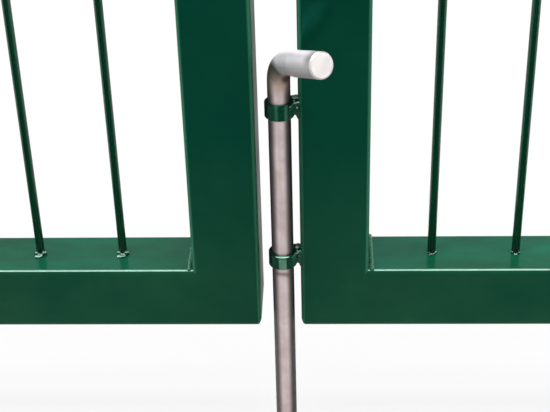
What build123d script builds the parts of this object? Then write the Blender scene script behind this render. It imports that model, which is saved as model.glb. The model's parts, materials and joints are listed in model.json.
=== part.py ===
"""Double-leaf steel garden gate with twin-wire mesh infill, standing between two base-plated posts.

Row frame, in millimetres: X runs along the gate from the left post to the right post, Y points away
from the garden side, where the drop bolt's handle is, and Z is up. The origin is the centre of the
left post's foot, on the ground.
"""

import os
from math import atan2, cos, degrees, pi, radians, sin, sqrt, tan

from build123d import *

# Leaves: welded frames of square tube
leaf_width = 1450.0
leaf_height = 1400.0
frame_tube = 40.0
frame_wall = 2.0
tube_edge_radius = 3.0
ground_clearance = 80.0
meeting_gap = 24.0
hinge_gap = 55.0
ground_corner_radius = 5.5

# Twin-wire mesh: upright wires with a double crosswire at each row
upright_wire = 5.0
cross_wire = 6.0
upright_pitch = 50.0
cross_pitch = 200.0
first_cross_height = 190.0
left_first_wire = 43.5
right_first_wire = 38.0
hinge_side_margin = 18.0
top_margin = 60.0
wire_weld_depth = 0.4

# Posts
post_tube = 60.0
post_wall = 2.5
post_edge_radius = 4.0
post_above_leaf = 80.0
cap_thickness = 4.0
cap_overhang = 1.5
cap_rise = 7.0
cap_peak = 14.0
base_plate_side = 150.0
base_plate_thickness = 8.0
base_plate_radius = 8.0
anchor_spacing = 110.0
anchor_hole = 13.0

# Hinges: an eyebolt through the leaf's stile turns on a pin that stands on the post
hinge_axis_from_post = 30.0
hinge_pin = 12.0
hinge_running_clearance = 0.3
hinge_seat_gap = 0.5
hinge_eye_outer = 25.0
hinge_eye_height = 20.0
hinge_shank = 14.0
shank_hole_clearance = 0.5
shank_end_past_nut = 4.0
nut_across_flats = 22.0
thin_nut_height = 7.0
full_nut_height = 11.0
pintle_arm_thickness = 8.0
pintle_arm_width = 26.0
pintle_plate_thickness = 4.0
pintle_plate_width = 36.0
pintle_plate_height = 46.0
pin_above_eye = 7.0
pin_chamfer = 2.0
lower_hinge_from_bottom = 130.0
upper_hinge_above_row = 40.0

# Drop bolt: a bent round bar in two guide rings on the right leaf's meeting stile
bolt_diameter = 12.7
bolt_handle_diameter = 14.4
bolt_handle_swell = 10.0
bolt_from_stile = 10.2
bolt_bend_radius = 15.0
bolt_handle_height = 174.6
bolt_handle_length = 46.0
bolt_handle_turn = 32.8
bolt_handle_lift = 18.8
bolt_tip_height = 0.0
bolt_tip_chamfer = 2.5
bolt_end_chamfer = 0.8
guide_clearance = 0.55
guide_wall = 1.3
guide_height = 9.4
guide_edge = 0.6
lower_guide_height = 50.5
upper_guide_height = 147.3
guide_lug_width = 6.5
guide_lug_setback = 1.0
guide_lug_step = 0.3

# Lock in the left leaf's meeting stile, with a lever on each side
lock_height = 950.0
faceplate_length = 235.0
faceplate_width = 24.0
faceplate_thickness = 3.0
escutcheon_length = 230.0
escutcheon_width = 34.0
escutcheon_thickness = 8.0
escutcheon_edge = 2.0
lever_collar = 22.0
lever_collar_height = 5.0
lever_reach = 46.0
lever_end_chamfer = 2.5
lever_grip = 16.0
lever_length = 118.0
lever_bend_radius = 14.0
lever_above_lock = 46.0
cylinder_below_lock = 46.0
cylinder_round = 17.0
cylinder_tail_width = 10.0
cylinder_drop = 33.0
cylinder_projection = 3.0

# Keep on the right leaf's meeting stile, a channel that the lock's latch shoots into
keep_depth = 18.5
keep_width = 32.0
keep_wall = 2.5
keep_length = 210.0

# Places worked out from the sizes above
half_tube = frame_tube / 2
half_post = post_tube / 2
inner_width = leaf_width - 2 * frame_tube
inner_height = leaf_height - 2 * frame_tube
leaf_bottom = ground_clearance
leaf_top = leaf_bottom + leaf_height
post_top = leaf_top + post_above_leaf
lower_hinge_z = leaf_bottom + lower_hinge_from_bottom
crosswire_rows = int((inner_height - first_cross_height - top_margin) // cross_pitch) + 1
last_cross_z = leaf_bottom + frame_tube + first_cross_height + (crosswire_rows - 1) * cross_pitch
upper_hinge_z = last_cross_z + upper_hinge_above_row
left_leaf_x = half_post + hinge_gap
left_meeting_x = left_leaf_x + leaf_width
right_meeting_x = left_meeting_x + meeting_gap
right_hinge_x = right_meeting_x + leaf_width
right_post_x = right_hinge_x + hinge_gap + half_post
left_axis_x = half_post + hinge_axis_from_post
right_axis_x = right_post_x - half_post - hinge_axis_from_post
bolt_x = right_meeting_x - bolt_from_stile
bolt_y = -half_tube
guide_bore = bolt_diameter + 2 * guide_clearance


def write(part, label):
    """Labels a finished piece and writes its STEP file."""
    part.label = label
    export_step(part, f"parts/{label}.step")


def tube_section(side, wall, radius):
    """The section of a square hollow tube, centred on its own origin."""
    with BuildSketch() as section:
        RectangleRounded(side, side, radius)
        RectangleRounded(side - 2 * wall, side - 2 * wall, max(radius - wall, wall / 4), mode=Mode.SUBTRACT)
    return section.sketch


def mitre_plane(x, z, inward_x, inward_z):
    """A 45 degree plane through a leaf's corner, facing along the given diagonal in X and Z."""
    return Plane(origin=(x, 0, z), x_dir=(0, 1, 0), z_dir=(inward_x, 0, inward_z))


def make_stile(label, leaf_x, tube_centre_x, facing, bolt_heights=(), faceplate_x=None):
    """An upright frame tube, mitred at both ends. facing is +1 where the leaf lies to its right."""
    outer_x = tube_centre_x - facing * half_tube
    with BuildPart() as stile:
        with BuildSketch(Plane.XY.offset(leaf_bottom)):
            with Locations((tube_centre_x, 0)):
                add(tube_section(frame_tube, frame_wall, tube_edge_radius))
        extrude(amount=leaf_height)
        split(bisect_by=mitre_plane(outer_x, leaf_bottom, -facing, 1), keep=Keep.TOP)
        split(bisect_by=mitre_plane(outer_x, leaf_top, -facing, -1), keep=Keep.TOP)
        with BuildSketch(Plane.XZ.offset(-frame_tube)):
            with Locations((leaf_x + leaf_width / 2, leaf_bottom + leaf_height / 2)):
                RectangleRounded(leaf_width, leaf_height, ground_corner_radius)
        extrude(amount=2 * frame_tube, mode=Mode.INTERSECT)
        if bolt_heights:
            with BuildSketch(Plane.YZ.offset(tube_centre_x - frame_tube)):
                with Locations(*[(0, height) for height in bolt_heights]):
                    Circle(hinge_shank / 2 + shank_hole_clearance)
            extrude(amount=2 * frame_tube, mode=Mode.SUBTRACT)
        if faceplate_x is not None:
            with BuildSketch(Plane.YZ.offset(faceplate_x - faceplate_thickness)):
                with Locations((0, leaf_bottom + lock_height)):
                    RectangleRounded(faceplate_width, faceplate_length, faceplate_width / 2 - 1)
            extrude(amount=2 * faceplate_thickness, mode=Mode.SUBTRACT)
    write(stile.part, label)


def make_rail(label, leaf_x, tube_centre_z, facing):
    """A level frame tube, mitred at both ends. facing is +1 where the leaf lies above it."""
    outer_z = tube_centre_z - facing * half_tube
    with BuildPart() as rail:
        with BuildSketch(Plane.YZ.offset(leaf_x)):
            with Locations((0, tube_centre_z)):
                add(tube_section(frame_tube, frame_wall, tube_edge_radius))
        extrude(amount=leaf_width)
        split(bisect_by=mitre_plane(leaf_x, outer_z, 1, -facing), keep=Keep.TOP)
        split(bisect_by=mitre_plane(leaf_x + leaf_width, outer_z, -1, -facing), keep=Keep.TOP)
        with BuildSketch(Plane.XZ.offset(-frame_tube)):
            with Locations((leaf_x + leaf_width / 2, leaf_bottom + leaf_height / 2)):
                RectangleRounded(leaf_width, leaf_height, ground_corner_radius)
        extrude(amount=2 * frame_tube, mode=Mode.INTERSECT)
    write(rail.part, label)


def upright_places(first_wire, meeting_inner_x, towards_hinge):
    """X of each upright wire, counted from the meeting stile's inner face towards the hinge."""
    count = int((inner_width - first_wire - hinge_side_margin) // upright_pitch) + 1
    return [meeting_inner_x + towards_hinge * (first_wire + n * upright_pitch) for n in range(count)]


def cross_heights():
    """Z of each row of double crosswires."""
    return [last_cross_z - n * cross_pitch for n in range(crosswire_rows)]


def make_mesh(label, leaf_x, uprights):
    """The welded mesh: uprights in the leaf's middle plane, with a crosswire before and behind them.

    The bars are square, with the round wires' section area, and run into each other where they cross.
    """
    upright_side = upright_wire * sqrt(pi) / 2
    cross_side = cross_wire * sqrt(pi) / 2
    cross_y = (upright_side + cross_side) / 2 - wire_weld_depth
    with BuildPart() as mesh:
        with BuildSketch(Plane.XY.offset(leaf_bottom + frame_tube)):
            with Locations(*[(x, 0) for x in uprights]):
                Rectangle(upright_side, upright_side)
        extrude(amount=inner_height)
        with BuildSketch(Plane.YZ.offset(leaf_x + frame_tube)):
            with Locations(*[(y, z) for z in cross_heights() for y in (-cross_y, cross_y)]):
                Rectangle(cross_side, cross_side)
        extrude(amount=inner_width)
    write(mesh.part, label)


def make_post(label, centre_x):
    """A square hollow post that stands on its base plate."""
    with BuildPart() as post:
        with BuildSketch(Plane.XY.offset(base_plate_thickness)):
            with Locations((centre_x, 0)):
                add(tube_section(post_tube, post_wall, post_edge_radius))
        extrude(amount=post_top - base_plate_thickness)
    write(post.part, label)


def make_cap(label, centre_x):
    """A pressed cap: a flat rim over the tube's end and a low pyramid on it."""
    rim_side = post_tube + 2 * cap_overhang
    with BuildPart() as cap:
        with BuildSketch(Plane.XY.offset(post_top)):
            with Locations((centre_x, 0)):
                RectangleRounded(rim_side, rim_side, post_edge_radius)
        extrude(amount=cap_thickness)
        with BuildSketch(Plane.XY.offset(post_top + cap_thickness)):
            with Locations((centre_x, 0)):
                Rectangle(post_tube, post_tube)
        extrude(amount=cap_rise, taper=degrees(atan2((post_tube - cap_peak) / 2, cap_rise)))
    write(cap.part, label)


def make_base_plate(label, centre_x):
    """The plate welded under a post, with a hole for an anchor at each corner."""
    with BuildPart() as plate:
        with BuildSketch():
            with Locations((centre_x, 0)):
                RectangleRounded(base_plate_side, base_plate_side, base_plate_radius)
                with GridLocations(anchor_spacing, anchor_spacing, 2, 2):
                    Circle(anchor_hole / 2, mode=Mode.SUBTRACT)
        extrude(amount=base_plate_thickness)
        chamfer(plate.faces().sort_by(Axis.Z)[-1].outer_wire().edges(), 1)
    write(plate.part, label)


def make_pintle(label, post_face_x, axis_x, height):
    """A hinge pin on a welded plate and arm. height is the level of the eyebolt's centre line."""
    outward = 1 if axis_x > post_face_x else -1
    eye_bottom = height - hinge_eye_height / 2
    arm_top = eye_bottom - hinge_seat_gap
    arm_bottom = arm_top - pintle_arm_thickness
    plate_side_x = post_face_x + outward * pintle_plate_thickness
    pin_top = eye_bottom + hinge_eye_height + pin_above_eye
    with BuildPart() as pintle:
        with BuildSketch(Plane.YZ.offset(min(post_face_x, plate_side_x))):
            with Locations((0, height)):
                RectangleRounded(pintle_plate_width, pintle_plate_height, 4)
        extrude(amount=pintle_plate_thickness)
        with BuildSketch(Plane.XY.offset(arm_bottom)):
            with Locations(((plate_side_x + axis_x) / 2, 0)):
                Rectangle(abs(axis_x - plate_side_x), pintle_arm_width)
            with Locations((axis_x, 0)):
                Circle(pintle_arm_width / 2)
        extrude(amount=pintle_arm_thickness)
        with BuildSketch(Plane.XY.offset(arm_top)):
            with Locations((axis_x, 0)):
                Circle(hinge_pin / 2)
        extrude(amount=pin_top - arm_top)
        pin_end = pintle.faces().sort_by_distance((axis_x, 0, pin_top))[0]
        chamfer(pin_end.edges(), pin_chamfer)
    write(pintle.part, label)


def make_eyebolt(label, axis_x, stile_centre_x, height):
    """An eyebolt whose shank runs through the hinge stile and on through the far nut."""
    inward = 1 if stile_centre_x > axis_x else -1
    far_face_x = stile_centre_x + inward * half_tube
    shank_end_x = far_face_x + inward * (full_nut_height + shank_end_past_nut)
    with BuildPart() as eyebolt:
        with BuildSketch(Plane.XY.offset(height - hinge_eye_height / 2)):
            with Locations((axis_x, 0)):
                Circle(hinge_eye_outer / 2)
        extrude(amount=hinge_eye_height)
        chamfer(eyebolt.edges(), 1)
        with BuildSketch(Plane.YZ.offset(min(axis_x, shank_end_x))):
            with Locations((0, height)):
                Circle(hinge_shank / 2)
        extrude(amount=abs(shank_end_x - axis_x))
        chamfer(eyebolt.faces().sort_by(Axis.X)[-1 if inward > 0 else 0].edges(), 1)
        with BuildSketch(Plane.XY.offset(height - hinge_eye_height)):
            with Locations((axis_x, 0)):
                Circle(hinge_pin / 2 + hinge_running_clearance)
        extrude(amount=2 * hinge_eye_height, mode=Mode.SUBTRACT)
    write(eyebolt.part, label)


def make_nuts(label, stile_centre_x, inward, heights):
    """The nuts that clamp a leaf's eyebolts to its hinge stile, one on each face for each bolt."""
    near_face_x = stile_centre_x - inward * half_tube
    far_face_x = stile_centre_x + inward * half_tube
    with BuildPart() as nuts:
        for face_x, thickness, side in (
            (near_face_x, thin_nut_height, -inward),
            (far_face_x, full_nut_height, inward),
        ):
            with BuildSketch(Plane.YZ.offset(min(face_x, face_x + side * thickness))):
                for height in heights:
                    with Locations((0, height)):
                        RegularPolygon(nut_across_flats / 2, 6, major_radius=False, rotation=30)
                        Circle(hinge_shank / 2, mode=Mode.SUBTRACT)
            extrude(amount=thickness)
    write(nuts.part, label)


def make_guide(label, height):
    """A ring for the drop bolt, with the lug that holds it to the corner of the meeting stile."""
    ring_radius = guide_bore / 2 + guide_wall
    bottom = leaf_bottom + height - guide_height / 2
    lug_front = bolt_y + guide_lug_setback
    lug_back = lug_front + guide_lug_width
    with BuildPart() as guide:
        with BuildSketch(Plane.XY.offset(bottom)):
            with Locations((bolt_x, bolt_y)):
                Circle(ring_radius)
        extrude(amount=guide_height)
        chamfer(guide.edges(), guide_edge)
        with BuildSketch(Plane.XY.offset(bottom + guide_lug_step)):
            with BuildLine():
                Polyline(
                    (bolt_x, lug_front),
                    (right_meeting_x + tube_edge_radius, lug_front),
                    (right_meeting_x + tube_edge_radius, lug_back),
                    (bolt_x, lug_back - guide_lug_width / 4),
                    close=True,
                )
            make_face()
            with Locations((right_meeting_x + half_tube, 0)):
                RectangleRounded(frame_tube, frame_tube, tube_edge_radius, mode=Mode.SUBTRACT)
        extrude(amount=guide_height - 2 * guide_lug_step)
        with BuildSketch(Plane.XY.offset(bottom - guide_height)):
            with Locations((bolt_x, bolt_y)):
                Circle(guide_bore / 2)
        extrude(amount=3 * guide_height, mode=Mode.SUBTRACT)
    write(guide.part, label)


def make_drop_bolt(label):
    """A round bar bent over at the top; beyond the bend it swells to a handle, on the garden side."""
    level = cos(radians(bolt_handle_lift))
    way = Vector(
        level * sin(radians(bolt_handle_turn)),
        -level * cos(radians(bolt_handle_turn)),
        sin(radians(bolt_handle_lift)),
    )
    corner = Vector(bolt_x, bolt_y, leaf_bottom + bolt_handle_height)
    handle_end = corner + way * bolt_handle_length
    bend_end = bolt_bend_radius * tan(radians((90 - bolt_handle_lift) / 2))
    swell = degrees(atan2((bolt_handle_diameter - bolt_diameter) / 2, bolt_handle_swell))
    with BuildPart() as bolt:
        with BuildLine() as route:
            FilletPolyline((bolt_x, bolt_y, bolt_tip_height), corner, handle_end, radius=bolt_bend_radius)
        with BuildSketch(Plane(origin=(bolt_x, bolt_y, bolt_tip_height))):
            Circle(bolt_diameter / 2)
        sweep(path=route.wires()[0])
        with BuildSketch(Plane(origin=corner + way * bend_end, z_dir=way)):
            Circle(bolt_diameter / 2)
        extrude(amount=bolt_handle_swell, taper=-swell)
        with BuildSketch(Plane(origin=corner + way * (bend_end + bolt_handle_swell), z_dir=way)):
            Circle(bolt_handle_diameter / 2)
        extrude(amount=bolt_handle_length - bend_end - bolt_handle_swell)
        chamfer(bolt.faces().sort_by(Axis.Z)[0].edges(), bolt_tip_chamfer)
        end_face = bolt.faces().sort_by_distance(handle_end)[0]
        chamfer(end_face.edges(), bolt_end_chamfer)
    write(bolt.part, label)


def make_faceplate(label):
    """The lock's faceplate, let in flush with the left meeting stile."""
    with BuildPart() as plate:
        with BuildSketch(Plane.YZ.offset(left_meeting_x - faceplate_thickness)):
            with Locations((0, leaf_bottom + lock_height)):
                RectangleRounded(faceplate_width, faceplate_length, faceplate_width / 2 - 1)
        extrude(amount=faceplate_thickness)
    write(plate.part, label)


def make_escutcheon(label, side):
    """The long plate behind a lever. side is -1 on the garden side and +1 on the street side."""
    centre_x = left_meeting_x - half_tube
    face_y = side * half_tube
    with BuildPart() as plate:
        with BuildSketch(Plane.XZ.offset(-face_y)):
            with Locations((centre_x, leaf_bottom + lock_height)):
                RectangleRounded(escutcheon_width, escutcheon_length, escutcheon_width / 2 - 1)
        extrude(amount=-side * escutcheon_thickness)
        outer_face = plate.faces().sort_by(Axis.Y)[-1 if side > 0 else 0]
        chamfer(outer_face.edges(), escutcheon_edge)
    write(plate.part, label)


def make_lever(label, side):
    """A bent bar lever that points from its neck towards the hinges."""
    centre_x = left_meeting_x - half_tube
    height = leaf_bottom + lock_height + lever_above_lock
    start_y = side * (half_tube + escutcheon_thickness)
    grip_y = start_y + side * lever_reach
    with BuildPart() as lever:
        with BuildLine() as route:
            FilletPolyline(
                (centre_x, start_y, height),
                (centre_x, grip_y, height),
                (centre_x - lever_length, grip_y, height),
                radius=lever_bend_radius,
            )
        with BuildSketch(Plane(origin=(centre_x, start_y, height), z_dir=(0, side, 0))):
            Circle(lever_grip / 2)
        sweep(path=route.wires()[0])
        chamfer(lever.faces().sort_by(Axis.X)[0].edges(), lever_end_chamfer)
        with BuildSketch(Plane(origin=(centre_x, start_y, height), z_dir=(0, side, 0))):
            Circle(lever_collar / 2)
        extrude(amount=lever_collar_height)
    write(lever.part, label)


def make_cylinder(label):
    """The profile cylinder, which shows on both escutcheons: a round barrel over a narrow tail."""
    centre_x = left_meeting_x - half_tube
    height = leaf_bottom + lock_height - cylinder_below_lock
    face = half_tube + escutcheon_thickness
    tail_reach = cylinder_drop - (cylinder_round + cylinder_tail_width) / 2
    with BuildPart() as cylinder:
        for side in (-1, 1):
            with BuildSketch(Plane(origin=(centre_x, side * face, height), x_dir=(1, 0, 0), z_dir=(0, side, 0))):
                Circle(cylinder_round / 2)
                with Locations((0, side * tail_reach / 2)):
                    Rectangle(cylinder_tail_width, tail_reach)
                with Locations((0, side * tail_reach)):
                    Circle(cylinder_tail_width / 2)
            extrude(amount=cylinder_projection)
    write(cylinder.part, label)


def make_keep(label):
    """The channel on the right meeting stile, open towards the lock."""
    with BuildPart() as keep:
        with BuildSketch(Plane.XY.offset(leaf_bottom + lock_height - keep_length / 2)):
            with Locations((right_meeting_x - keep_depth / 2, 0)):
                Rectangle(keep_depth, keep_width)
            with Locations((right_meeting_x - keep_wall - keep_depth / 2, 0)):
                Rectangle(keep_depth, keep_width - 2 * keep_wall, mode=Mode.SUBTRACT)
        extrude(amount=keep_length)
    write(keep.part, label)


def make_leaf_frame(side, leaf_x, hinge_stile_x, meeting_stile_x, hinge_facing, faceplate_x):
    """The four mitred tubes of one leaf."""
    heights = [lower_hinge_z, upper_hinge_z]
    make_stile(f"{side}_hinge_stile", leaf_x, hinge_stile_x, hinge_facing, bolt_heights=heights)
    make_stile(f"{side}_meeting_stile", leaf_x, meeting_stile_x, -hinge_facing, faceplate_x=faceplate_x)
    make_rail(f"{side}_bottom_rail", leaf_x, leaf_bottom + half_tube, 1)
    make_rail(f"{side}_top_rail", leaf_x, leaf_bottom + leaf_height - half_tube, -1)


def make_hinges(side, post_face_x, axis_x, hinge_stile_x, inward):
    """Both hinges of one leaf: the pins on the post, and the eyebolts and nuts on the stile."""
    for name, height in (("lower", lower_hinge_z), ("upper", upper_hinge_z)):
        make_pintle(f"{side}_{name}_hinge_pin", post_face_x, axis_x, height)
        make_eyebolt(f"{side}_{name}_eyebolt", axis_x, hinge_stile_x, height)
        make_nuts(f"{side}_{name}_eyebolt_nuts", hinge_stile_x, inward, [height])


def main():
    os.makedirs("parts", exist_ok=True)

    for side, centre_x in (("left", 0.0), ("right", right_post_x)):
        make_post(f"{side}_post", centre_x)
        make_cap(f"{side}_post_cap", centre_x)
        make_base_plate(f"{side}_base_plate", centre_x)

    left_hinge_stile_x = left_leaf_x + half_tube
    left_meeting_stile_x = left_meeting_x - half_tube
    right_meeting_stile_x = right_meeting_x + half_tube
    right_hinge_stile_x = right_hinge_x - half_tube

    make_leaf_frame("left", left_leaf_x, left_hinge_stile_x, left_meeting_stile_x, 1, left_meeting_x)
    make_leaf_frame("right", right_meeting_x, right_hinge_stile_x, right_meeting_stile_x, -1, None)
    make_mesh(
        "left_mesh", left_leaf_x, upright_places(left_first_wire, left_meeting_x - frame_tube, -1)
    )
    make_mesh(
        "right_mesh", right_meeting_x, upright_places(right_first_wire, right_meeting_x + frame_tube, 1)
    )
    make_hinges("left", half_post, left_axis_x, left_hinge_stile_x, 1)
    make_hinges("right", right_post_x - half_post, right_axis_x, right_hinge_stile_x, -1)

    make_faceplate("lock_faceplate")
    make_cylinder("lock_cylinder")
    for name, side in (("garden", -1), ("street", 1)):
        make_escutcheon(f"{name}_escutcheon", side)
        make_lever(f"{name}_lever", side)
    make_keep("lock_keep")

    make_guide("lower_bolt_guide", lower_guide_height)
    make_guide("upper_bolt_guide", upper_guide_height)
    make_drop_bolt("drop_bolt")


main()
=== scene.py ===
"""Looks for the double-leaf steel garden gate.

Everything is in metres, in the gate's own frame: X along the gate from the left post to the right
post, Y away from the garden side, Z up, with the origin at the centre of the left post's foot.
"""

import json
import math
import random

import bmesh
import bpy
from mathutils import Matrix, Vector, noise


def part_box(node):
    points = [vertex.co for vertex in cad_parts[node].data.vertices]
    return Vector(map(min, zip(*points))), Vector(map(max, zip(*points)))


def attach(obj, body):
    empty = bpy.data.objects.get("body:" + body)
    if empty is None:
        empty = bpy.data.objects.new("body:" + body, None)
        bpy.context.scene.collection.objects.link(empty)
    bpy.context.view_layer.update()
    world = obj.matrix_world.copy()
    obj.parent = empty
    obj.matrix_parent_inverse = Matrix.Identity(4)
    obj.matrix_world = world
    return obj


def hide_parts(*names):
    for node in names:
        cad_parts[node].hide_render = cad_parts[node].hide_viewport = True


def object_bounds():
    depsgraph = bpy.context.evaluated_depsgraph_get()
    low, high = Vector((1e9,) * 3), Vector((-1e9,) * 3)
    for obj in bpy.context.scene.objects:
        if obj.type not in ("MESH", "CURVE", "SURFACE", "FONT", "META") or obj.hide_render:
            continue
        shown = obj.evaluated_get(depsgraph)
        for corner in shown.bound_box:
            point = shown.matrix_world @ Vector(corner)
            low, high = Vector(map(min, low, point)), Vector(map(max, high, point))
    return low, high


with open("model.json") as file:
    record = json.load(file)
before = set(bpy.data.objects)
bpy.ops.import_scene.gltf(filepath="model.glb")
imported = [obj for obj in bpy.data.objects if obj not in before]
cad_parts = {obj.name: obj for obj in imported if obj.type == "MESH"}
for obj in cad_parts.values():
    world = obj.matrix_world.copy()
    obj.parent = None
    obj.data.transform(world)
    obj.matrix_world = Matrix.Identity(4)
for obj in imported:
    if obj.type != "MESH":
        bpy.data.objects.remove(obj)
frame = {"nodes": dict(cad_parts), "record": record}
cad_low, cad_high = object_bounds()

MM = 0.001

# Sizes that the wires, welds and trim share with the frame
UPRIGHT_RADIUS = 2.5 * MM
CROSS_RADIUS = 3.0 * MM
WIRE_WELD_DEPTH = 0.4 * MM
CROSS_OFFSET = UPRIGHT_RADIUS + CROSS_RADIUS - WIRE_WELD_DEPTH
WIRE_SIDES = 16
# How much wider a guide ring is than the bolt, as a radius: its wall and its clearance
RING_OVER_BOLT = 1.85 * MM
SIDES = ("left", "right")

# The photograph's width and focal length in pixels, and the camera's place, which is counted from
# the right leaf's lower front corner beside the gap
PHOTO_WIDTH = 550
FOCAL_PIXELS = 1300
SENSOR_WIDTH = 36.0
CAMERA_OFFSET = Vector((14.874, -634.648, 467.513)) * MM
CAMERA_PITCH = math.radians(31.063)
CAMERA_YAW = math.radians(-2.604)
CAMERA_ROLL = math.radians(-1.617)

LEAF_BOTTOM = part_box("right_bottom_rail")[0].z
LEFT_MEETING_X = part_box("left_meeting_stile")[1].x
# The stile's corner in front, beside the gap; the bolt's axis is level with the stile's front face
RIGHT_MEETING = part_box("right_meeting_stile")[0]
BOLT_AXIS_Y = RIGHT_MEETING.y


def srgb(red, green, blue):
    """A colour given as 0 to 255 display values, as linear values with alpha."""
    def linear(value):
        share = value / 255
        return share / 12.92 if share <= 0.04045 else ((share + 0.055) / 1.055) ** 2.4

    return (linear(red), linear(green), linear(blue), 1.0)


# Materials


class Graph:
    """Short names for building one material's nodes."""

    def __init__(self, name):
        self.material = bpy.data.materials.new(name)
        self.material.use_nodes = True
        self.tree = self.material.node_tree
        self.tree.nodes.clear()
        self.output = self.tree.nodes.new("ShaderNodeOutputMaterial")
        coordinates = self.tree.nodes.new("ShaderNodeTexCoord")
        self.place = coordinates.outputs["Object"]
        self.normal = coordinates.outputs["Normal"]

    def node(self, kind, **settings):
        made = self.tree.nodes.new(kind)
        for key, value in settings.items():
            setattr(made, key, value)
        return made

    def link(self, source, target):
        self.tree.links.new(source, target)

    def noise(self, scale, detail=4.0, roughness=0.5, stretch=(1, 1, 1)):
        """Noise by place on the object; scale is in features per metre."""
        mapping = self.node("ShaderNodeMapping")
        mapping.inputs["Scale"].default_value = stretch
        self.link(self.place, mapping.inputs["Vector"])
        made = self.node("ShaderNodeTexNoise")
        made.inputs["Scale"].default_value = scale
        made.inputs["Detail"].default_value = detail
        made.inputs["Roughness"].default_value = roughness
        self.link(mapping.outputs["Vector"], made.inputs["Vector"])
        return made.outputs["Fac"]

    def ramp(self, source, stops):
        """Colours or greys at places along 0 to 1."""
        made = self.node("ShaderNodeValToRGB")
        ramp = made.color_ramp
        while len(ramp.elements) < len(stops):
            ramp.elements.new(0.5)
        for element, (place, colour) in zip(ramp.elements, stops):
            element.position = place
            element.color = colour if len(colour) == 4 else (*colour, 1.0)
        self.link(source, made.inputs["Fac"])
        return made.outputs["Color"]

    def grey(self, source, low, high, start=0.3, end=0.7):
        """Maps a value from start..end to low..high."""
        made = self.node("ShaderNodeMapRange")
        made.inputs["From Min"].default_value = start
        made.inputs["From Max"].default_value = end
        made.inputs["To Min"].default_value = low
        made.inputs["To Max"].default_value = high
        self.link(source, made.inputs["Value"])
        return made.outputs["Result"]

    def mix(self, factor, first, second):
        """Mixes two colours by a factor socket."""
        made = self.node("ShaderNodeMix", data_type="RGBA")
        self.link(factor, made.inputs["Factor"])
        for value, key in ((first, "A"), (second, "B")):
            sockets = [s for s in made.inputs if s.name == key and s.type == "RGBA"]
            if isinstance(value, tuple):
                sockets[0].default_value = value
            else:
                self.link(value, sockets[0])
        return [s for s in made.outputs if s.type == "RGBA"][0]

    def bump(self, source, distance, strength, under=None):
        """A bump whose height is distance, in metres, where source goes from 0 to 1."""
        made = self.node("ShaderNodeBump")
        made.inputs["Distance"].default_value = distance
        made.inputs["Strength"].default_value = strength
        self.link(source, made.inputs["Height"])
        if under is not None:
            self.link(under, made.inputs["Normal"])
        return made.outputs["Normal"]

    def axis(self, name):
        """One coordinate of the place on the object, in metres."""
        made = self.node("ShaderNodeSeparateXYZ")
        self.link(self.place, made.inputs["Vector"])
        return made.outputs[name]

    def facing(self, name):
        """One part of the surface's direction, -1 to 1, on the object."""
        made = self.node("ShaderNodeSeparateXYZ")
        self.link(self.normal, made.inputs["Vector"])
        return made.outputs[name]

    def calculate(self, operation, first, second=None):
        """One step of arithmetic on a socket, with a number or another socket."""
        made = self.node("ShaderNodeMath", operation=operation)
        self.link(first, made.inputs[0])
        if isinstance(second, float):
            made.inputs[1].default_value = second
        elif second is not None:
            self.link(second, made.inputs[1])
        return made.outputs[0]

    def size_of(self, value):
        return self.calculate("ABSOLUTE", value)

    def times(self, first, second):
        return self.calculate("MULTIPLY", first, second)

    def plus(self, first, second):
        return self.calculate("ADD", first, second)

    def distance(self, value, centre):
        """How far value is from centre, either way."""
        return self.size_of(self.calculate("SUBTRACT", value, centre))

    def near(self, value, centre, reach):
        """1 where value is at centre, falling to 0 at reach from it."""
        return self.grey(self.distance(value, centre), 1.0, 0.0, 0.0, reach)

    def near_point(self, spot, reach):
        """1 at a point on the object, falling to 0 at reach from it."""
        away = self.node("ShaderNodeVectorMath", operation="DISTANCE")
        self.link(self.place, away.inputs[0])
        away.inputs[1].default_value = spot
        return self.grey(away.outputs["Value"], 1.0, 0.0, 0.0, reach)

    def orange_peel(self):
        """The fine dimples of sprayed coat."""
        return self.bump(self.noise(420, 2), 0.05 * MM, 0.35)

    def surface(self, colour, roughness, normal=None, metallic=0.0, specular=0.5, tint=None):
        """One principled shader; colour and roughness may be values or sockets."""
        shader = self.node("ShaderNodeBsdfPrincipled")
        for value, key in ((colour, "Base Color"), (roughness, "Roughness")):
            if isinstance(value, (tuple, float)):
                shader.inputs[key].default_value = value
            else:
                self.link(value, shader.inputs[key])
        shader.inputs["Metallic"].default_value = metallic
        shader.inputs["Specular IOR Level"].default_value = specular
        if tint is not None:
            shader.inputs["Specular Tint"].default_value = (*tint, 1)
        if normal is not None:
            self.link(normal, shader.inputs["Normal"])
        self.link(shader.outputs["BSDF"], self.output.inputs["Surface"])
        return self.material


# Coat colours
MOSS = [(0.28, srgb(0, 36, 21)), (0.50, srgb(0, 43, 26)), (0.74, srgb(2, 50, 31))]
RING_MOSS = [(0.3, srgb(0, 36, 20)), (0.7, srgb(0, 46, 27))]
EARTH = srgb(58, 102, 62)
THIN_DUST = srgb(50, 92, 70)
# Painted light on the coat's upward faces: a lighter green
TOP_FACE_LIGHT = srgb(0, 118, 91)
# Painted highlight for rounded edges that slope up
RIM_HIGHLIGHT = srgb(176, 206, 190)
# Painted sheen for upright edges
EDGE_SHEEN = srgb(50, 108, 82)
WELD_PIT = srgb(0, 34, 20)
FILLET_PIT = srgb(24, 88, 64)
WELD_DUST = srgb(52, 92, 72)
WELD_GLINT = srgb(178, 214, 198)
RING_SHADE = srgb(0, 13, 6)
# Painted reflection streaks on a ring's front
RING_REFLECTION_STREAK = srgb(86, 130, 106)
# Painted reflection of a flat facet on a ring's front
RING_FACET_REFLECTION = srgb(98, 134, 116)
# Painted dark lines beside a ring's painted reflections
RING_DARK_LINE = srgb(0, 24, 14)
# Painted highlight along a ring's top front edge
RING_TOP_HIGHLIGHT = srgb(176, 226, 206)

# The coat's reflections: their strength, and their green tint
COAT_SPECULAR = 0.20
COAT_TINT = (0.08, 1.0, 0.78)
SPLASH_HEIGHT = 130 * MM

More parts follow.
